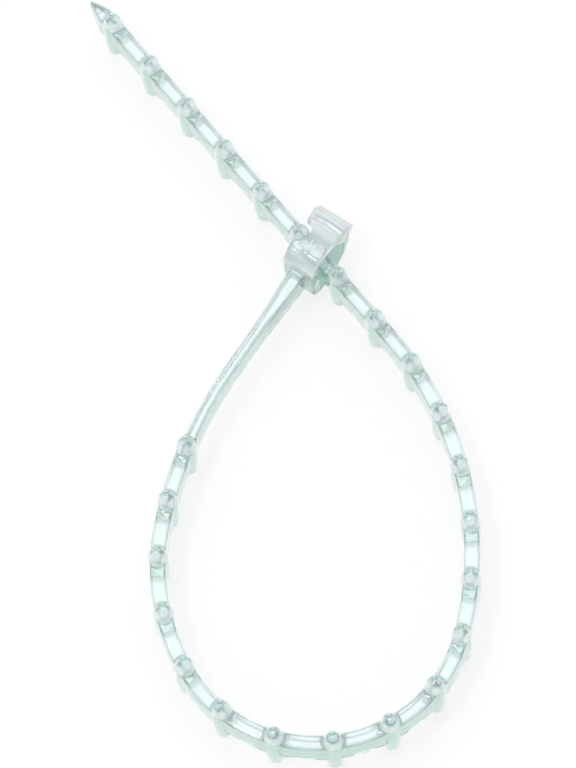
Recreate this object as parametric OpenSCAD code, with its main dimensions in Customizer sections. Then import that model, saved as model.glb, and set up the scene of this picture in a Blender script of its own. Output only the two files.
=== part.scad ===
// Beaded releasable cable tie, closed into a loop and lying on its bead ends.
// Millimetres. +Z is up. Seen from -Y and above, the tail points up and to the left.

/* [Strap] */
// Distance from bead to bead along the strap
bead_pitch = 5.3; // [4.8:0.1:6]
// Number of beads between the plain leg and the head
loop_beads = 18; // [14:1:24]
// Number of beads past the head, with the one that rests on it
tail_beads = 6; // [3:1:10]
// Length of the strap without beads, from the head to the first bead
plain_leg = 19.3; // [16:0.1:24]
// Width of the strap, along the beads
strap_w = 3.5; // [2.6:0.1:3.8]
// Thickness of the strap
strap_t = 1.4; // [1.1:0.05:1.7]
// How far the strap lies above the middle of the beads
strap_rise = 0.8; // [0:0.05:0.9]
// Chamfer on the long edges of the strap
strap_edge = 0.25; // [0.1:0.05:0.4]
// Thickness of the plain leg
leg_t = 1; // [0.9:0.05:1.3]
// Length of the thicker root of the leg, at the head
root_len = 7; // [4:0.5:9]
// Thickness of that root where it leaves the head
root_t = 1.5; // [1.4:0.05:2]
// Length of the pointed end past the last bead
tip_len = 3; // [2:0.1:4]
// Width of that end at its point
tip_end_w = 2.3; // [1.4:0.1:2.4]
// Thickness of that end at its point
tip_end_t = 0.45; // [0.3:0.05:0.8]

/* [Beads] */
// Length of a bead from one domed end to the other
bead_len = 8; // [7.6:0.1:9]
// Diameter of a bead at the strap
bead_d = 1.8; // [1.75:0.05:2.2]
// Diameter of a bead at its domed ends
bead_end_d = 1.35; // [1.1:0.05:1.6]
// Radius of the fillets between the beads' long ends and the strap
fillet_r = 1.4; // [0.8:0.1:1.6]
// Radius of the fillets between the beads' short ends and the strap
small_fillet_r = 0.5; // [0.3:0.1:0.6]
// Thickness of those fillets
fillet_t = 0.95; // [0.6:0.05:1]

/* [Head] */
// Diameter of the round head
head_d = 8; // [7.6:0.1:8.8]
// Thickness of the head at its rim's parting line
head_t = 3.25; // [2.8:0.05:3.8]
// Length of the head along the leg
head_len = 5.95; // [5.6:0.05:6.6]
// Width of the head's flat end at the leg
head_foot = 5.3; // [4.4:0.1:6]
// Length over which the head widens from that flat end
foot_len = 1.05; // [0.8:0.05:1.4]
// How much smaller the head's radius is at its faces than at the parting line
head_draft = 0.12; // [0.05:0.01:0.25]
// Thickness of the ring around the opening
head_wall = 1.15; // [0.9:0.05:1.4]
// Gap between the strap and the foot of the head in the opening
strap_gap = 0.15; // [0.1:0.05:0.3]
// How far the resting bead's middle lies outside the head's face
seat_out = 0.15; // [0:0.05:0.25]
// Gap between the resting bead and its groove
seat_gap = 0.15; // [0.1:0.05:0.3]
// How far the lip on the rim sticks out
lip_h = 0.7; // [0.5:0.05:1.2]
// Thickness of that lip
lip_t = 1.75; // [1:0.05:2]
// Width of the lip, across the head
lip_w = 3.6; // [3.4:0.05:4.2]
// Direction of the lip from the head's long axis, upwards
lip_dir = 33.5; // [20:0.5:45]

/* [Loop] */
// Direction of the head's long axis on the floor, from +X
head_dir = 56; // [0:0.5:360]
// Angle of the strap to the head's own axis where it passes through
strap_lean = 16.2; // [8:0.1:18]
// Where the strap passes through the head, from the leg's end
strap_at = 2.47; // [2.4:0.01:3]
// Share of the loop's turn in the bend next to the leg
share_leg = 0.088; // [0.06:0.001:0.14]
// Share of the loop's turn in the bend after that
share_low = 0.168; // [0.11:0.001:0.19]
// Share of the loop's turn in the bend before the head
share_top = 0.211; // [0.17:0.001:0.26]
// Radius of the bend next to the leg, over the radius of the tightest bend
flat_leg = 3.07; // [2.6:0.01:3.6]
// Radius of the bend after that, over the radius of the tightest bend
flat_low = 1.49; // [1.3:0.01:1.8]
// Radius of the bend before the head, over the radius of the tightest bend
flat_top = 2.39; // [2:0.01:2.8]

/* [Hidden] */

mould = [0.84, 0.94, 0.89];

bead_r = bead_d / 2;
dome_r = bead_end_d / 2;
dome_z = bead_len / 2 - dome_r;
loop_count = round(loop_beads);
tail_count = round(tail_beads);

// Small depths by which neighbouring solids reach into each other, so that they join cleanly.
bury = 0.2;
proud = 0.06;
head_r = head_d / 2;
ring_at = head_len - head_r;

// Centre of the resting bead, in the head's own frame: x from the leg's end, y to the tail's side,
// z from the strap's middle.
seat_y = head_t / 2 + seat_out;
seat = [strap_at + seat_y * tan(strap_lean), seat_y];

// The loop is straight, then four bends, then straight. Directions are in the head's own frame.
whole_turn = 270 - strap_lean;
turns = [
    whole_turn * share_leg,
    whole_turn * share_low,
    whole_turn * (1 - share_leg - share_low - share_top),
    whole_turn * share_top
];
flats = [flat_leg, flat_low, 1, flat_top];
function dir(a) = [cos(a), sin(a)];
function bow(h, turn) = [sin(h + turn) - sin(h), cos(h) - cos(h + turn)];
function turned(i) = i == 0 ? 180 : turned(i - 1) + turns[i - 1];
function arc_sum(i) = i < 0 ? 0 : arc_sum(i - 1) + flats[i] * turns[i] * PI / 180;
function bow_sum(i) = i < 0 ? [0, 0] : bow_sum(i - 1) + flats[i] * bow(turned(i), turns[i]);

// The tightest radius and the two straights, so that the bead lands on its seat.
loop_len = plain_leg + loop_count * bead_pitch;
out_dir = dir(180);
in_dir = dir(turned(4));
slack = bow_sum(3) - arc_sum(3) * out_dir;
reach = seat - loop_len * out_dir;
bend_r = cross(reach, in_dir - out_dir) / cross(slack, in_dir - out_dir);
in_len = cross(slack, reach) / cross(slack, in_dir - out_dir);
out_len = loop_len - bend_r * arc_sum(3) - in_len;

// Point and direction at a length along the strap, from the leg's end of the head.
function arc_from(i) = out_len + bend_r * arc_sum(i - 1);
function arc_start(i) = out_len * out_dir + bend_r * bow_sum(i - 1);
function bend_at(s) =
    s < arc_from(1) ? 0 : s < arc_from(2) ? 1 : s < arc_from(3) ? 2 : 3;
function bent(s, i) = (s - arc_from(i)) / (bend_r * flats[i]) * 180 / PI;
function heading(s) =
    s <= out_len ? 180 : s >= arc_from(4) ? turned(4)
    : turned(bend_at(s)) + bent(s, bend_at(s));
function on_bend(s, i) =
    arc_start(i) + bend_r * flats[i] * bow(turned(i), bent(s, i));
function spot(s) =
    s <= out_len ? s * out_dir
    : s >= arc_from(4) ? seat + (s - loop_len) * in_dir
    : on_bend(s, bend_at(s));

beads = loop_count + tail_count;
function bead_s(i) = plain_leg + i * bead_pitch;
tip_s = bead_s(beads - 1);

// The box of the whole tie on the floor, for the origin at its bottom centre.
function on_floor(p) = [
    p[0] * cos(head_dir) - p[1] * sin(head_dir),
    p[0] * sin(head_dir) + p[1] * cos(head_dir)
];
trail = [for (s = [root_len : 0.25 : tip_s]) on_floor(spot(s))];
tip_at = on_floor(spot(tip_s + tip_len));
side = strap_t / 2;
x_low = min(min([for (p = trail) p[0]]) - side, tip_at[0]);
x_high = max([for (p = trail) p[0]]) + side;
y_low = min([for (p = trail) p[1]]) - side;
y_high = max(max([for (p = trail) p[1]]) + side, tip_at[1]);

// Section of the strap, with its thickness along x.
module strap_section(thick) {
    c = strap_edge;
    x = thick / 2;
    y = strap_w / 2;
    polygon([
        [-x, c - y], [c - x, -y], [x - c, -y], [x, c - y],
        [x, y - c], [x - c, y], [c - x, y], [-x, y - c]
    ]);
}

// Strap between two lengths, as one bend or a straight bar, short of both ends by the given trims.
module strap_run(s0, s1, trim0, trim1, thick) {
    p = spot(s0);
    q = spot(s1);
    turn = heading(s1) - heading(s0);
    way = atan2(q[1] - p[1], q[0] - p[0]);
    span = norm(q - p);
    if (abs(turn) < 0.4) {
        translate([p[0], p[1], 0])
            rotate([90, 0, way + 90])
                translate([0, 0, trim0])
                    linear_extrude(height = span - trim0 - trim1)
                        strap_section(thick);
    } else {
        r = span / 2 / sin(turn / 2);
        c = p + r * dir(way - turn / 2 + 90);
        skip = trim0 / r * 180 / PI;
        translate([c[0], c[1], 0])
            rotate([0, 0, way - turn / 2 - 90 + skip])
                rotate_extrude(angle = turn - skip - trim1 / r * 180 / PI, $fn = 240)
                    translate([r, 0])
                        strap_section(thick);
    }
}

// Half of a bead's outline for turning: a slim cone on each side, ending in a dome.
module bead_outline() {
    waist = strap_w / 2 + bury;
    polygon([
        [0, -dome_z], [dome_r, -dome_z], [bead_r, strap_rise - waist],
        [bead_r, strap_rise + waist], [dome_r, dome_z], [0, dome_z]
    ]);
    for (end = [0, 1])
        mirror([0, end])
            intersection() {
                translate([0, dome_z])
                    circle(r = dome_r, $fn = 32);
                translate([0, dome_z])
                    square([bead_d, bead_d]);
            }
}

// Flat web that blends one end of a bead into the strap's edge, upwards from that edge.
module bead_fillet(r) {
    inner = bead_r - 2 * bury;
    reach = 0.78 * r;
    rotate([90, 0, 0])
        linear_extrude(height = fillet_t, center = true)
            difference() {
                translate([-inner - reach, -bury])
                    square([2 * (inner + reach), reach + bury]);
                for (sx = [-1, 1])
                    translate([sx * (inner + r), r])
                        circle(r = r, $fn = 48);
            }
}

module bead(i) {
    p = spot(bead_s(i));
    translate([p[0], p[1], 0])
        rotate([0, 0, heading(bead_s(i))]) {
            translate([0, 0, -strap_rise])
                rotate_extrude($fn = 32)
                    bead_outline();
            translate([0, 0, strap_w / 2])
                bead_fillet(small_fillet_r);
            mirror([0, 0, 1])
                translate([0, 0, strap_w / 2])
                    bead_fillet(fillet_r);
        }
}

// The plain leg: a tapered root out of the head, then one long bend to the first bead.
module leg() {
    x0 = root_t / 2;
    x1 = leg_t / 2 + proud;
    sink = 3 * bury;
    linear_extrude(height = strap_w + proud, center = true)
        polygon([[sink, -x0], [sink, x0], [-root_len, x1], [-root_len, -x1]]);
    strap_run(root_len - sink, bead_s(0), 0, bury, leg_t);
}

// Pointed end: thinner and narrower towards the point.
module tip() {
    p = spot(tip_s);
    x = strap_t / 2;
    x_end = tip_end_t / 2;
    z = strap_w / 2 - 2 * proud;
    z_end = tip_end_w / 2;
    shoulder = 0.45 * tip_len;
    translate([p[0], p[1], 0])
        rotate([0, 0, heading(tip_s)])
            intersection() {
                linear_extrude(height = strap_w, center = true)
                    polygon([
                        [bury, -x], [shoulder, -x], [tip_len, -x_end],
                        [tip_len, x_end], [shoulder, x], [bury, x]
                    ]);
                rotate([90, 0, 0])
                    linear_extrude(height = 2 * strap_t, center = true)
                        polygon([
                            [0, -z], [shoulder + bury, -z], [tip_len + bury, -z_end],
                            [tip_len + bury, z_end], [shoulder + bury, z], [0, z]
                        ]);
            }
}

// Outline of the head along the strap's way: a round plate with a narrower foot at the leg.
module head_outline() {
    far = head_r + bury;
    polygon([
        [0, -head_foot / 2], [foot_len, -far], [head_len + bury, -far],
        [head_len + bury, far], [foot_len, far], [0, head_foot / 2]
    ]);
}

module head() {
    face_r = head_r - head_draft;
    hole_r = head_r - head_wall;
    foot = strap_at - head_t / 2 * tan(strap_lean) - strap_t / 2 / cos(strap_lean) - strap_gap;
    difference() {
        union() {
            intersection() {
                union()
                    for (end = [0, 1])
                        mirror([0, end, 0])
                            translate([ring_at, 0, 0])
                                rotate([-90, 0, 0])
                                    cylinder(r1 = head_r, r2 = face_r, h = head_t / 2, $fn = 96);
                rotate([90, 0, 0])
                    linear_extrude(height = 2 * head_t, center = true)
                        head_outline();
            }
            // Lip on the rim, at the upper side of the far end.
            translate([ring_at, 0, 0])
                rotate([0, -lip_dir, 0])
                    translate([hole_r + bury, -lip_w / 2, -lip_t / 2])
                        cube([head_wall - bury + lip_h, lip_w, lip_t]);
        }
        // Opening for the strap, flat on the leg's side.
        rotate([90, 0, 0])
            linear_extrude(height = 2 * head_t, center = true)
                intersection() {
                    translate([ring_at, 0])
                        circle(r = hole_r, $fn = 96);
                    translate([foot, -head_r])
                        square([head_d, head_d]);
                }
        // Groove that the bead rests in.
        translate([seat[0], seat[1], 0])
            cylinder(r = bead_r + seat_gap, h = 2 * bead_len, center = true, $fn = 48);
    }
}

module cable_tie() {
    color(mould)
        translate([-(x_low + x_high) / 2, -(y_low + y_high) / 2, bead_len / 2 + strap_rise])
            rotate([0, 0, head_dir]) {
                head();
                leg();
                for (i = [0 : beads - 1])
                    bead(i);
                for (i = [0 : beads - 2])
                    strap_run(bead_s(i), bead_s(i + 1), bury, bury, strap_t);
                tip();
            }
}

cable_tie();
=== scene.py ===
import math

import bpy
import numpy as np
from mathutils import Matrix, Vector


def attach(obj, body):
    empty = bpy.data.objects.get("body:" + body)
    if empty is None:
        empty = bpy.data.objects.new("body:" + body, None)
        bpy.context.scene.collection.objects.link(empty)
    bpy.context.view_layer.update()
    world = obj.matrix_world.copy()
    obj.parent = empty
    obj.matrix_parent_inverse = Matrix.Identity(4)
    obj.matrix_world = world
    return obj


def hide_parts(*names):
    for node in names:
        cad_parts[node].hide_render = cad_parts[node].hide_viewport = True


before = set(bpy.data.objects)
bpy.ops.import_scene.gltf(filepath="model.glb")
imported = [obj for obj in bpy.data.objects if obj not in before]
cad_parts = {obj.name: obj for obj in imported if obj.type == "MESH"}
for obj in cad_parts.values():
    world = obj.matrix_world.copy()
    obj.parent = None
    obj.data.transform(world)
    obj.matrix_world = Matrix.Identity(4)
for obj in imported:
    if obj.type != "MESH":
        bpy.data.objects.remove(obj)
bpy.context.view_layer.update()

# Sizes in millimetres, the same as in the part's source where no comment says otherwise

# Strap
BEAD_PITCH = 5.3
LOOP_BEADS = 18
TAIL_BEADS = 6
PLAIN_LEG = 19.3
STRAP_W = 3.5
STRAP_T = 1.4
STRAP_RISE = 0.8
LEG_T = 1.0
ROOT_LEN = 7.0
ROOT_T = 1.5
TIP_LEN = 3.0
TIP_END_W = 2.3
TIP_END_T = 0.45

# Beads, with rounder ends than the source's 1.35, so that light runs into them evenly
BEAD_LEN = 8.0
BEAD_D = 1.8
BEAD_END_D = 1.55
FILLET_R = 1.4
SMALL_FILLET_R = 0.5
FILLET_T = 0.95

# Head, with both gaps a little wider than the source's 0.15, so that the surface grid keeps them open
HEAD_D = 8.0
HEAD_T = 3.25
HEAD_LEN = 5.95
HEAD_FOOT = 5.3
FOOT_LEN = 1.05
HEAD_DRAFT = 0.12
HEAD_WALL = 1.15
STRAP_GAP = 0.25
SEAT_GAP = 0.22
SEAT_OUT = 0.15
LIP_H = 0.7
LIP_T = 1.75
LIP_W = 3.6
LIP_DIR = 33.5

# Loop: where the strap passes through the head, then each bend's share of the turn and its radius over that
# of the tightest bend
HEAD_DIR = 56.0
STRAP_LEAN = 16.2
STRAP_AT = 2.47
SHARE_LEG = 0.088
SHARE_LOW = 0.168
SHARE_TOP = 0.211
FLATS = (3.07, 1.49, 1.0, 2.39)

# Not in the source: how far ahead of the first bead the strap starts to thicken, and over what length
STEP_AHEAD = 0.6
STEP_LEN = 0.9

# Share of the tip that keeps the strap's section, as in the source, and the power by which its width then
# narrows, where the source's edges are straight
SHOULDER = 0.45
POINT_POWER = 1.5

# How far inside the bead's side a web's curve starts, as in the source, and how much is cut off its thin
# ends, where the source cuts off more
WEB_IN = 0.4
WEB_TRIM = 0.1

# Not in the source: the parting ridge round the head, and rounded edges in place of chamfers and sharp
# corners
RIDGE_H = 0.05
RIDGE_W = 0.16
STRAP_EDGE_R = 0.225
CORNER_R = 0.12

# Not in the source either: how wide two forms blend where they meet
LEG_BLEND = 0.35
BEAD_BLEND = 0.15
WEB_BLEND = 0.25
LIP_BLEND = 0.45
HEAD_BLEND = 0.2
OPENING_BLEND = 0.3

# The plain leg and the rest of the strap are two forms, which overlap between these lengths
REST_FROM = 13.5
LEG_TO = 14.5

# Steps along the strap at which its place is taken, for the size of the grid and for the tie's box on
# the floor
LINE_STEP = 0.5
BOX_STEP = 0.25

# Surface grid: its spacing, how far it is worked out from the strap's middle line and from the head's middle,
# the room above and below the part, the value where it isn't worked out, and the number of parts that the
# work is split into
GRID = 0.18
GRID_REACH = 2.2
HEAD_REACH = 6.4
GRID_ROOM = 0.5
FAR_AWAY = 9.0
GRID_PARTS = 30

BEADS = LOOP_BEADS + TAIL_BEADS
BEAD_R = BEAD_D / 2
DOME_R = BEAD_END_D / 2
DOME_Z = BEAD_LEN / 2 - DOME_R
HEAD_R = HEAD_D / 2
RING_AT = HEAD_LEN - HEAD_R
TAN = math.tan(math.radians(STRAP_LEAN))
COS = math.cos(math.radians(STRAP_LEAN))
SEAT_Y = HEAD_T / 2 + SEAT_OUT
SEAT = np.array([STRAP_AT + SEAT_Y * TAN, SEAT_Y])


# The strap's way, in the head's own frame: x from the leg's end along the head, y to the tail's side
def way(angle):
    """Direction at an angle in degrees."""
    a = math.radians(angle)
    return np.array([math.cos(a), math.sin(a)])


def bow(start, turn):
    """Chord of a bend of radius 1."""
    a = math.radians(start)
    b = math.radians(start + turn)
    return np.array([math.sin(b) - math.sin(a), math.cos(a) - math.cos(b)])


def cross(a, b):
    """Cross product of two flat vectors."""
    return a[0] * b[1] - a[1] * b[0]


def route():
    """Straight, four bends, straight: each as start length, start point, direction, radius and length."""
    shares = (SHARE_LEG, SHARE_LOW, 1 - SHARE_LEG - SHARE_LOW - SHARE_TOP, SHARE_TOP)
    turns = [(270 - STRAP_LEAN) * share for share in shares]
    heads = [180.0]
    for turn in turns:
        heads.append(heads[-1] + turn)
    arc_sum = sum(f * math.radians(t) for f, t in zip(FLATS, turns))
    bow_sum = sum(f * bow(h, t) for f, h, t in zip(FLATS, heads, turns))
    loop_len = PLAIN_LEG + LOOP_BEADS * BEAD_PITCH
    out_dir = way(180)
    in_dir = way(heads[4])
    slack = bow_sum - arc_sum * out_dir
    reach = SEAT - loop_len * out_dir
    bend_r = cross(reach, in_dir - out_dir) / cross(slack, in_dir - out_dir)
    in_len = cross(slack, reach) / cross(slack, in_dir - out_dir)
    out_len = loop_len - bend_r * arc_sum - in_len
    pieces = [(0.0, np.zeros(2), 180.0, 0.0, out_len)]
    point = out_len * out_dir
    length = out_len
    for f, h, t in zip(FLATS, heads, turns):
        r = bend_r * f
        pieces.append((length, point, h, r, r * math.radians(t)))
        point = point + r * bow(h, t)
        length += r * math.radians(t)
    pieces.append((length, point, heads[4], 0.0, END_S - length))
    return pieces


TIP_S = PLAIN_LEG + (BEADS - 1) * BEAD_PITCH
END_S = TIP_S + TIP_LEN
ROUTE = route()


def spot(length):
    """Point at a length along the strap, from the leg's end of the head."""
    for start, point, angle, r, n in ROUTE:
        if length <= start + n + 1e-9:
            break
    d = length - start
    return point + (d * way(angle) if r == 0 else r * bow(angle, math.degrees(d / r)))


def heading(length):
    """Direction of the strap at a length along it."""
    step = 0.05
    d = spot(length + step) - spot(length - step)
    return d / np.linalg.norm(d)


BEAD_AT = np.array([spot(PLAIN_LEG + i * BEAD_PITCH) for i in range(BEADS)])
BEAD_WAY = np.array([heading(PLAIN_LEG + i * BEAD_PITCH) for i in range(BEADS)])


def along(x, y, low, high):
    """Distance to the strap's middle line between two lengths, and the length of the nearest point."""
    best = np.full(x.shape, 1e9)
    best_s = np.zeros(x.shape)
    for start, point, angle, r, n in ROUTE:
        a = max(low - start, 0.0)
        b = min(high - start, n)
        if b <= a:
            continue
        if r == 0:
            d = way(angle)
            u = np.clip((x - point[0]) * d[0] + (y - point[1]) * d[1], a, b)
            near_x = point[0] + u * d[0]
            near_y = point[1] + u * d[1]
        else:
            c = point + r * way(angle + 90)
            mid = (a + b) / 2 / r
            turned = np.arctan2(y - c[1], x - c[0]) - math.radians(angle - 90)
            turned = (turned - mid + math.pi) % (2 * math.pi) - math.pi + mid
            u = np.clip(turned * r, a, b)
            w = u / r + math.radians(angle - 90)
            near_x = c[0] + r * np.cos(w)
            near_y = c[1] + r * np.sin(w)
        distance = np.hypot(x - near_x, y - near_y)
        near = distance < best
        best = np.where(near, distance, best)
        best_s = np.where(near, start + u, best_s)
    return best, best_s


# The form as a signed distance, negative inside, with z from the strap's middle
def soft_min(a, b, k):
    """Either of two distances, blended over the width k."""
    h = np.maximum(k - np.abs(a - b), 0.0) / k
    return np.minimum(a, b) - h * h * k / 4


def soft_max(a, b, k):
    """Both of two distances, blended over the width k."""
    return -soft_min(-a, -b, k)


def rounded(a, b, r):
    """Both of two distances, with a rounded corner between them."""
    a = a + r
    b = b + r
    return np.minimum(np.maximum(a, b), 0.0) + np.hypot(np.maximum(a, 0), np.maximum(b, 0)) - r


def ease(x):
    """Smooth step from 0 to 1."""
    x = np.clip(x, 0.0, 1.0)
    return x * x * (3 - 2 * x)


def strap(x, y, z, low, high):
    """Strap between two lengths, thicker at its root and from the first bead on, and pointed at the tip."""
    distance, s = along(x, y, low, high)
    root = 1 - ease(s / ROOT_LEN)
    band = ease((s - PLAIN_LEG + BEAD_R + STEP_AHEAD) / STEP_LEN)
    half_t = (LEG_T + (ROOT_T - LEG_T) * root + (STRAP_T - LEG_T) * band) / 2
    shoulder = SHOULDER * TIP_LEN
    point = np.clip((s - TIP_S - shoulder) / (TIP_LEN - shoulder), 0, 1)
    half_t = half_t - (STRAP_T - TIP_END_T) / 2 * point
    half_w = STRAP_W / 2 - (STRAP_W - TIP_END_W) / 2 * point ** POINT_POWER
    return rounded(distance - half_t, np.abs(z) - half_w, STRAP_EDGE_R), s


def web(fore, across, up, r):
    """Flat blend between one end of a bead and the strap's edge."""
    inner = BEAD_R - WEB_IN
    curve = r - np.hypot(fore - inner - r, up - r)
    curve = np.maximum(curve, np.maximum(fore - inner - r, up - r) + WEB_TRIM)
    return rounded(curve, across - FILLET_T / 2, CORNER_R)


def beads(x, y, z, s):
    """The bead nearest to each point: a slim cone with a dome on each side, and its webs."""
    i = np.clip(np.rint((s - PLAIN_LEG) / BEAD_PITCH), 0, BEADS - 1).astype(int)
    dx = x - BEAD_AT[i, 0]
    dy = y - BEAD_AT[i, 1]
    rho = np.hypot(dx, dy)
    from_mid = z + STRAP_RISE
    up = np.abs(z) - STRAP_W / 2
    reach = np.where(z > 0, DOME_Z - STRAP_RISE, DOME_Z + STRAP_RISE) - STRAP_W / 2
    taper = np.clip(up / reach, 0, 1)
    side = rho - (BEAD_R + (DOME_R - BEAD_R) * taper)
    dome = np.hypot(rho, np.abs(from_mid) - DOME_Z) - DOME_R
    pin = np.where(np.abs(from_mid) > DOME_Z, dome, side)
    fore = np.abs(dx * BEAD_WAY[i, 0] + dy * BEAD_WAY[i, 1])
    across = np.abs(dx * BEAD_WAY[i, 1] - dy * BEAD_WAY[i, 0])
    long_web = web(fore, across, -z - STRAP_W / 2, FILLET_R)
    short_web = web(fore, across, z - STRAP_W / 2, SMALL_FILLET_R)
    return soft_min(pin, np.where(z > 0, short_web, long_web), WEB_BLEND)


def head(x, y, z):
    """Round eyelet with a foot at the leg, a lip on its rim, an opening and a groove for the resting bead."""
    ax = x - RING_AT
    ridge = RIDGE_H * np.exp(-(y / RIDGE_W) ** 2)
    rim = np.hypot(ax, z) - (HEAD_R - HEAD_DRAFT * np.abs(y) / (HEAD_T / 2) + ridge)
    flare = HEAD_R - HEAD_FOOT / 2
    foot = (FOOT_LEN * (np.abs(z) - HEAD_FOOT / 2) - flare * x) / math.hypot(flare, FOOT_LEN)
    plan = soft_max(soft_max(rim, foot, HEAD_BLEND), -x, HEAD_BLEND)
    body = rounded(plan, np.abs(y) - HEAD_T / 2, CORNER_R)
    lip_way = way(LIP_DIR)
    out = ax * lip_way[0] + z * lip_way[1]
    off = z * lip_way[0] - ax * lip_way[1]
    reach = np.maximum(out - HEAD_R - LIP_H, HEAD_R - HEAD_WALL - out)
    lip = rounded(reach, np.abs(off) - LIP_T / 2, CORNER_R)
    lip = rounded(lip, np.abs(y) - LIP_W / 2, CORNER_R)
    body = soft_min(body, lip, LIP_BLEND)
    foot_at = STRAP_AT - HEAD_T / 2 * TAN - STRAP_T / 2 / COS - STRAP_GAP
    opening = soft_max(np.hypot(ax, z) - (HEAD_R - HEAD_WALL), foot_at - x, OPENING_BLEND)
    body = soft_max(body, -opening, HEAD_BLEND)
    seat = np.hypot(x - SEAT[0], y - SEAT[1]) - (BEAD_R + SEAT_GAP)
    return soft_max(body, -seat, HEAD_BLEND)


def form(x, y, z):
    """The whole moulding. The strap inside the head is kept apart from the head."""
    leg, _ = strap(x, y, z, 0.0, LEG_TO)
    near = soft_min(head(x, y, z), leg, LEG_BLEND)
    rest, s = strap(x, y, z, REST_FROM, END_S)
    rest = soft_min(rest, beads(x, y, z, s), BEAD_BLEND)
    return np.minimum(near, rest)


# The surface, as quads on a fine grid whose points are then moved onto the form
def sampled(step):
    """Values of the form on a grid, worked out only near the part."""
    line = np.array([spot(s) for s in np.arange(0, END_S, LINE_STEP)])
    least = line.min(axis=0) - GRID_REACH
    most = line.max(axis=0) + GRID_REACH
    tall = max(HEAD_R, BEAD_LEN / 2 + STRAP_RISE) + GRID_ROOM
    low = np.array([least[0], least[1] - HEAD_T / 2, -tall])
    high = np.array([max(most[0], HEAD_LEN + GRID_REACH), most[1], tall])
    count = np.ceil((high - low) / step).astype(int) + 1
    gx, gy, gz = (low[k] + step * np.arange(count[k]) for k in range(3))
    flat_x, flat_y = np.meshgrid(gx, gy, indexing="ij")
    distance, _ = along(flat_x, flat_y, 0.0, END_S)
    in_head = np.hypot(flat_x - HEAD_LEN / 2, flat_y) < HEAD_REACH
    values = np.full(count, FAR_AWAY)
    kx, ky = np.nonzero((distance < GRID_REACH) | in_head)
    for part in np.array_split(np.arange(len(kx)), GRID_PARTS):
        x = np.repeat(gx[kx[part]], count[2])
        y = np.repeat(gy[ky[part]], count[2])
        z = np.tile(gz, len(part))
        values[kx[part], ky[part]] = form(x, y, z).reshape(len(part), count[2])
    return values, low


def crossing_points(values):
    """One point in each cell that the surface crosses, and the table of their numbers."""
    cells = np.array(values.shape) - 1
    neg = values < 0
    total = np.zeros((*cells, 3))
    count = np.zeros(cells)
    for axis in range(3):
        for b in (0, 1):
            for c in (0, 1):
                first = [b, c]
                first.insert(axis, 0)
                second = list(first)
                second[axis] = 1
                i0 = tuple(slice(o, o + m) for o, m in zip(first, cells))
                i1 = tuple(slice(o, o + m) for o, m in zip(second, cells))
                cut = neg[i0] != neg[i1]
                t = np.where(cut, values[i0] / np.where(cut, values[i0] - values[i1], 1), 0)
                for k in range(3):
                    total[..., k] += np.where(cut, t if k == axis else first[k], 0)
                count += cut
    live = np.nonzero(count)
    points = total[live] / count[live][:, None] + np.stack(live, axis=1)
    index = np.full(cells, -1)
    index[live] = np.arange(len(points))
    return points, index


def crossing_quads(values, index):
    """One quad round each grid edge that the surface crosses, facing outwards."""
    neg = values < 0
    quads = []
    for axis in range(3):
        u, v = [k for k in range(3) if k != axis]
        near = [slice(1, values.shape[k] - 1) for k in range(3)]
        far = list(near)
        near[axis] = slice(0, values.shape[axis] - 1)
        far[axis] = slice(1, values.shape[axis])
        a = neg[tuple(near)]
        b = neg[tuple(far)]
        for leaves in (True, False):
            where = list(np.nonzero(a & ~b if leaves else ~a & b))
            where[u] = where[u] + 1
            where[v] = where[v] + 1
            four = []
            for du, dv in ((-1, -1), (0, -1), (0, 0), (-1, 0)):
                cell = list(where)
                cell[u] = cell[u] + du
                cell[v] = cell[v] + dv
                four.append(index[tuple(cell)])
            # The y axis is the one on which u, v and the axis turn the other way.
            if leaves == (axis == 1):
                four = four[::-1]
            quads.append(np.stack(four, axis=1))
    return np.concatenate(quads)


def slope(points):
    """Slope of the form at each point, which leads away from the surface."""
    e = 0.02
    x, y, z = points.T
    return np.stack([
        form(x + e, y, z) - form(x - e, y, z),
        form(x, y + e, z) - form(x, y - e, z),
        form(x, y, z + e) - form(x, y, z - e),
    ], axis=1) / (2 * e)


def settle(points, quads, turns, easing_turns):
    """Eases the points along the surface in the first turns, and moves them onto it in all turns."""
    smallest = 0.25
    largest_move = 0.15
    for turn in range(turns):
        if turn < easing_turns:
            mean = np.zeros_like(points)
            hits = np.zeros(len(points))
            for i in range(4):
                for j in (1, 3):
                    np.add.at(mean, quads[:, i], points[quads[:, (i + j) % 4]])
                    np.add.at(hits, quads[:, i], 1)
            points = (points + mean / hits[:, None]) / 2
        g = slope(points)
        size = np.maximum((g * g).sum(axis=1), smallest)
        move = np.clip(form(*points.T) / size, -largest_move, largest_move)
        points = points - g * move[:, None]
    return points


def on_floor(p):
    """From the head's own frame to the floor, before the origin is moved."""
    turn = way(HEAD_DIR)
    x = p[..., 0] * turn[0] - p[..., 1] * turn[1]
    y = p[..., 0] * turn[1] + p[..., 1] * turn[0]
    return np.stack([x, y], axis=-1)


def floor_middle():
    """Middle of the tie's box on the floor."""
    trail = on_floor(np.array([spot(s) for s in np.arange(ROOT_LEN, TIP_S + 1e-6, BOX_STEP)]))
    tip_at = on_floor(spot(END_S))
    side = STRAP_T / 2
    low_x = min(trail[:, 0].min() - side, tip_at[0])
    high_x = trail[:, 0].max() + side
    low_y = trail[:, 1].min() - side
    high_y = max(trail[:, 1].max() + side, tip_at[1])
    return np.array([(low_x + high_x) / 2, (low_y + high_y) / 2])


MIDDLE = floor_middle()


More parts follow.
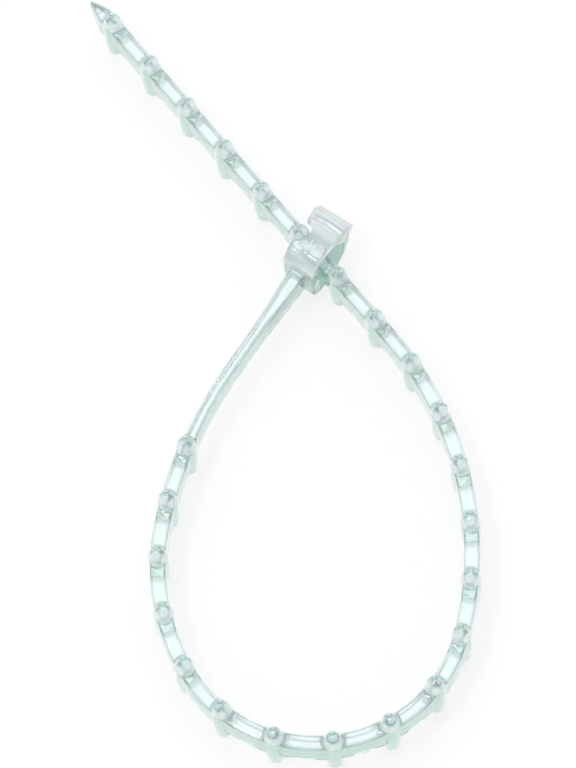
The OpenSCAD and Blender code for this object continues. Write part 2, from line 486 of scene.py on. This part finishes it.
def moulding():
    """The whole tie as one smooth mesh."""
    values, low = sampled(GRID)
    points, index = crossing_points(values)
    quads = crossing_quads(values, index)
    points = settle(low + points * GRID, quads, turns=7, easing_turns=4)
    flat = on_floor(points[:, :2]) - MIDDLE
    verts = np.column_stack([flat, points[:, 2] + BEAD_LEN / 2 + STRAP_RISE]) / 1000
    mesh = bpy.data.meshes.new("tie_moulding")
    mesh.from_pydata(verts.tolist(), [], quads.tolist())
    mesh.validate()
    mesh.shade_smooth()
    tie = bpy.data.objects.new("tie_moulding", mesh)
    bpy.context.scene.collection.objects.link(tie)
    return tie


# Materials, with light and shade painted into the tint. Upright faces and the beads' long ends look green and
# clear: the plastic's own green cast, deepened as painted shade. Level faces and the near ends are pale and
# milkier as painted light, and the sides of the near ends and the lip are the milkiest, as a painted bright
# rim and painted light.
# Green tint: partly the plastic's cast, partly painted shade. Pale tint: painted light. Milky tint and lip
# share: painted bright rim and painted light.
GREEN_AND_SHADE_TINT = (0.5, 0.71, 0.63, 1)
PAINTED_LIT_TINT = (0.9, 0.94, 0.96, 1)
PAINTED_BRIGHT_TINT = (0.97, 0.98, 1.0, 1)
GREEN_AND_SHADE_CLEARNESS = 0.9
PAINTED_LIT_CLEARNESS = 0.73
PAINTED_BRIGHT_CLEARNESS = 0.43
LIP_PAINTED_LIGHT = 0.8

# Where one look goes over into the other: upward share of the skin's direction, heights from the floor,
# and places along and across the head from the leg's end, both in millimetres
UPRIGHT_TO_LEVEL = (0.35, 0.75)
LONG_ENDS_TO_STRAP = (2.5, 3.0)
STRAP_TO_NEAR_ENDS = (6.3, 6.8)
HEAD_TO_LIP = (3.0, 3.8)
TAIL_TO_LIP = (2.5, 2.1)

# Skin of the plastic, then the colour of the light that its depth lets through and how fast it takes the
# rest. The ripple's depth is in metres, and the two scales and the loss are counted for each metre.
PLASTIC_IOR = 1.46
COAT = 0.6
COAT_ROUGHNESS = 0.03
HAZE_SCALE = 450.0
ROUGHNESS = (0.04, 0.12)
RIPPLE_SCALE = 700.0
RIPPLE_STRENGTH = 0.15
RIPPLE_DEPTH = 0.00005
KEPT_LIGHT = (0.2, 0.85, 0.7, 1)
LIGHT_LOSS = 60.0


def empty_material(name):
    """A material without nodes, and its node tree."""
    material = bpy.data.materials.new(name)
    material.use_nodes = True
    tree = material.node_tree
    tree.nodes.clear()
    return material, tree


def put(tree, socket, value):
    """Links an output to a socket, or sets the socket to a plain value."""
    if isinstance(value, bpy.types.NodeSocket):
        tree.links.new(value, socket)
    else:
        socket.default_value = value


def add(tree, kind, **values):
    """A new node, with its inputs given by name."""
    made = tree.nodes.new(kind)
    for name, value in values.items():
        put(tree, made.inputs[name.replace("_", " ")], value)
    return made


def calc(tree, operation, *values):
    """Result of a sum on outputs or plain values."""
    made = tree.nodes.new("ShaderNodeMath")
    made.operation = operation
    for socket, value in zip(made.inputs, values):
        put(tree, socket, value)
    return made.outputs["Value"]


def ramp(tree, value, across, to=(0.0, 1.0)):
    """Takes a value from one range to another, and holds it at both ends."""
    made = add(tree, "ShaderNodeMapRange", Value=value, From_Min=across[0], From_Max=across[1],
               To_Min=to[0], To_Max=to[1])
    return made.outputs["Result"]


def mixed(tree, share, first, second):
    """Mix of two colours."""
    made = tree.nodes.new("ShaderNodeMix")
    made.data_type = "RGBA"
    put(tree, made.inputs["Factor"], share)
    put(tree, made.inputs["A"], first)
    put(tree, made.inputs["B"], second)
    return made.outputs["Result"]


def height_ramp(tree, place, across):
    """Ramp between two heights from the floor."""
    height = add(tree, "ShaderNodeSeparateXYZ", Vector=place.outputs["Object"]).outputs["Z"]
    return ramp(tree, height, (across[0] / 1000, across[1] / 1000))


def head_ramp(tree, place, direction, across, most):
    """Ramp between two places along a level direction, counted from the leg's end of the head."""
    made = tree.nodes.new("ShaderNodeVectorMath")
    made.operation = "DOT_PRODUCT"
    put(tree, made.inputs[0], place.outputs["Object"])
    put(tree, made.inputs[1], (direction[0], direction[1], 0))
    start = -float(MIDDLE @ direction)
    metres = ((start + across[0]) / 1000, (start + across[1]) / 1000)
    return ramp(tree, made.outputs["Value"], metres, (0.0, most))


def tint_with_painted_light(tree, place, skin):
    """Gives the skin its tint and clearness from place to place: painted shade in green on upright and low
    parts, painted light on level faces and near ends, and the milkiest, brightest paint on the near ends'
    sides and the lip.
    """
    skin_way = add(tree, "ShaderNodeSeparateXYZ", Vector=place.outputs["Normal"])
    upward = calc(tree, "ABSOLUTE", skin_way.outputs["Z"])
    level = ramp(tree, upward, UPRIGHT_TO_LEVEL)
    level_strap = calc(tree, "MULTIPLY", level, height_ramp(tree, place, LONG_ENDS_TO_STRAP))
    # Painted light: level faces of the strap and the near ends of the beads are made pale.
    painted_lit = calc(tree, "MAXIMUM", level_strap, height_ramp(tree, place, STRAP_TO_NEAR_ENDS))
    upright = ramp(tree, upward, UPRIGHT_TO_LEVEL, (1.0, 0.0))
    past_head = head_ramp(tree, place, way(HEAD_DIR), HEAD_TO_LIP, LIP_PAINTED_LIGHT)
    short_of_tail = head_ramp(tree, place, way(HEAD_DIR + 90), TAIL_TO_LIP, 1.0)
    # Painted bright rim and painted light: upright sides of the pale parts and the lip are made the milkiest.
    painted_bright = calc(tree, "MAXIMUM", upright, calc(tree, "MULTIPLY", past_head, short_of_tail))
    lit_tint = mixed(tree, painted_bright, PAINTED_LIT_TINT, PAINTED_BRIGHT_TINT)
    lit_clearness = ramp(tree, painted_bright, (0.0, 1.0), (PAINTED_LIT_CLEARNESS, PAINTED_BRIGHT_CLEARNESS))
    # Everywhere else the green is the plastic's cast, deepened as painted shade.
    put(tree, skin.inputs["Base Color"], mixed(tree, painted_lit, GREEN_AND_SHADE_TINT, lit_tint))
    clearness = ramp(tree, painted_lit, (0.0, 1.0), (GREEN_AND_SHADE_CLEARNESS, lit_clearness))
    put(tree, skin.inputs["Transmission Weight"], clearness)


def moulded_skin(tree, place, skin):
    """Slightly uneven gloss and a faint ripple."""
    haze = add(tree, "ShaderNodeTexNoise", Vector=place.outputs["Object"], Scale=HAZE_SCALE, Detail=3.0)
    put(tree, skin.inputs["Roughness"], ramp(tree, haze.outputs["Fac"], (0.0, 1.0), ROUGHNESS))
    ripple = add(tree, "ShaderNodeTexNoise", Vector=place.outputs["Object"], Scale=RIPPLE_SCALE, Detail=2.0)
    bump = add(tree, "ShaderNodeBump", Strength=RIPPLE_STRENGTH, Distance=RIPPLE_DEPTH)
    put(tree, bump.inputs["Height"], ripple.outputs["Fac"])
    put(tree, skin.inputs["Normal"], bump.outputs["Normal"])


def clear_plastic():
    """Clear plastic with a green cast, and with painted shade, painted light and a painted bright rim in its
    tint and clearness.
    """
    material, tree = empty_material("clear_plastic_look")
    place = add(tree, "ShaderNodeTexCoord")
    skin = add(tree, "ShaderNodeBsdfPrincipled", IOR=PLASTIC_IOR)
    skin.inputs["Coat Weight"].default_value = COAT
    skin.inputs["Coat Roughness"].default_value = COAT_ROUGHNESS
    tint_with_painted_light(tree, place, skin)
    moulded_skin(tree, place, skin)
    depth = add(tree, "ShaderNodeVolumeAbsorption", Color=KEPT_LIGHT, Density=LIGHT_LOSS)
    add(tree, "ShaderNodeOutputMaterial", Surface=skin.outputs["BSDF"], Volume=depth.outputs["Volume"])
    return material


tie = moulding()
tie.data.materials.append(clear_plastic())
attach(tie, "root")
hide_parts("cable_tie")

# Floor and light, in metres. The floor is lifted towards pure white by a share for each kind of ray. The
# world goes from its light at the horizon to its light overhead as a ray's direction turns upwards.
FLOOR_SIZE = 1.6
FLOOR_WHITE = (0.94, 0.94, 0.94, 1)
FLOOR_GLOW = {
    "Is Camera Ray": 0.78,
    "Is Glossy Ray": 0.9,
    "Is Transmission Ray": 0.75,
}
HORIZON_TO_OVERHEAD = (0.0, 0.8)
WORLD_LIGHT = (0.8, 0.65)
LAMP_COLOUR = (0.97, 0.96, 1.0)


def white_floor():
    """White floor that takes shadows and still looks almost pure white."""
    material, tree = empty_material("floor_white")
    matt = add(tree, "ShaderNodeBsdfDiffuse", Color=FLOOR_WHITE)
    glow = add(tree, "ShaderNodeEmission", Strength=1.0)
    rays = add(tree, "ShaderNodeLightPath")
    share = 0.0
    for kind, lift in FLOOR_GLOW.items():
        share = calc(tree, "MAXIMUM", share, calc(tree, "MULTIPLY", rays.outputs[kind], lift))
    mix = add(tree, "ShaderNodeMixShader", Fac=share)
    put(tree, mix.inputs[1], matt.outputs["BSDF"])
    put(tree, mix.inputs[2], glow.outputs["Emission"])
    add(tree, "ShaderNodeOutputMaterial", Surface=mix.outputs["Shader"])
    return material


def floor():
    """The plane that the tie lies on, for the picture only."""
    bpy.ops.mesh.primitive_plane_add(size=FLOOR_SIZE, location=(0, 0, 0))
    plane = bpy.context.active_object
    plane.name = "floor"
    plane.data.materials.append(white_floor())


def studio_world():
    """Soft light from all round, a little brighter near the horizon than overhead."""
    world = bpy.data.worlds.new("studio")
    bpy.context.scene.world = world
    world.use_nodes = True
    tree = world.node_tree
    tree.nodes.clear()
    place = add(tree, "ShaderNodeTexCoord")
    ray_way = add(tree, "ShaderNodeSeparateXYZ", Vector=place.outputs["Generated"])
    shade = ramp(tree, ray_way.outputs["Z"], HORIZON_TO_OVERHEAD, WORLD_LIGHT)
    back = add(tree, "ShaderNodeBackground", Color=shade, Strength=1.0)
    add(tree, "ShaderNodeOutputWorld", Surface=back.outputs["Background"])


def soft_lamp(name, at, size, watts):
    """Area lamp that points at the tie."""
    data = bpy.data.lights.new(name, "AREA")
    data.shape = "RECTANGLE"
    data.size = size[0]
    data.size_y = size[1]
    data.energy = watts
    data.color = LAMP_COLOUR
    lamp = bpy.data.objects.new(name, data)
    bpy.context.scene.collection.objects.link(lamp)
    lamp.location = at
    lamp.rotation_euler = (-Vector(at)).to_track_quat("-Z", "Y").to_euler()


floor()
studio_world()
soft_lamp("key", at=(-0.05, 0.28, 0.85), size=(0.65, 0.54), watts=2.8)
soft_lamp("spark", at=(-0.2, -0.1, 0.8), size=(0.12, 0.12), watts=1.4)

# Camera: looks down along the beads, tilted towards the bottom of the loop. Angles are in degrees, and the
# distance is in metres. The aim is counted in millimetres from the leg's end of the head.
PHOTO_H = 768
PIXELS_PER_MM = 11.13
SENSOR_H = 36.0
TILT = 18.0
SIDE = 6.0
DISTANCE = 0.85
AIM_FROM_HEAD = (-0.975, -9.85)


def camera():
    """The photo's view of the tie."""
    tilt = math.radians(TILT)
    side = math.radians(SIDE)
    back = Vector((math.sin(tilt) * math.sin(side), -math.sin(tilt) * math.cos(side), math.cos(tilt)))
    up = (Vector((0, 1, 0)) - back.y * back).normalized()
    right = up.cross(back)
    aim = Vector((AIM_FROM_HEAD[0] - MIDDLE[0], AIM_FROM_HEAD[1] - MIDDLE[1], BEAD_LEN / 2)) / 1000
    data = bpy.data.cameras.new("camera")
    data.sensor_fit = "VERTICAL"
    data.sensor_height = SENSOR_H
    data.lens = PIXELS_PER_MM * DISTANCE * 1000 * SENSOR_H / PHOTO_H
    data.clip_start = 0.05
    data.clip_end = 10.0
    made = bpy.data.objects.new("camera", data)
    bpy.context.scene.collection.objects.link(made)
    turn = Matrix((right, up, back)).transposed().to_4x4()
    made.matrix_world = Matrix.Translation(aim + back * DISTANCE) @ turn
    bpy.context.scene.camera = made


camera()
bpy.context.scene.view_settings.view_transform = "Standard"

# Light crosses many walls of the clear moulding.
bpy.context.scene.cycles.max_bounces = 32
bpy.context.scene.cycles.transmission_bounces = 32
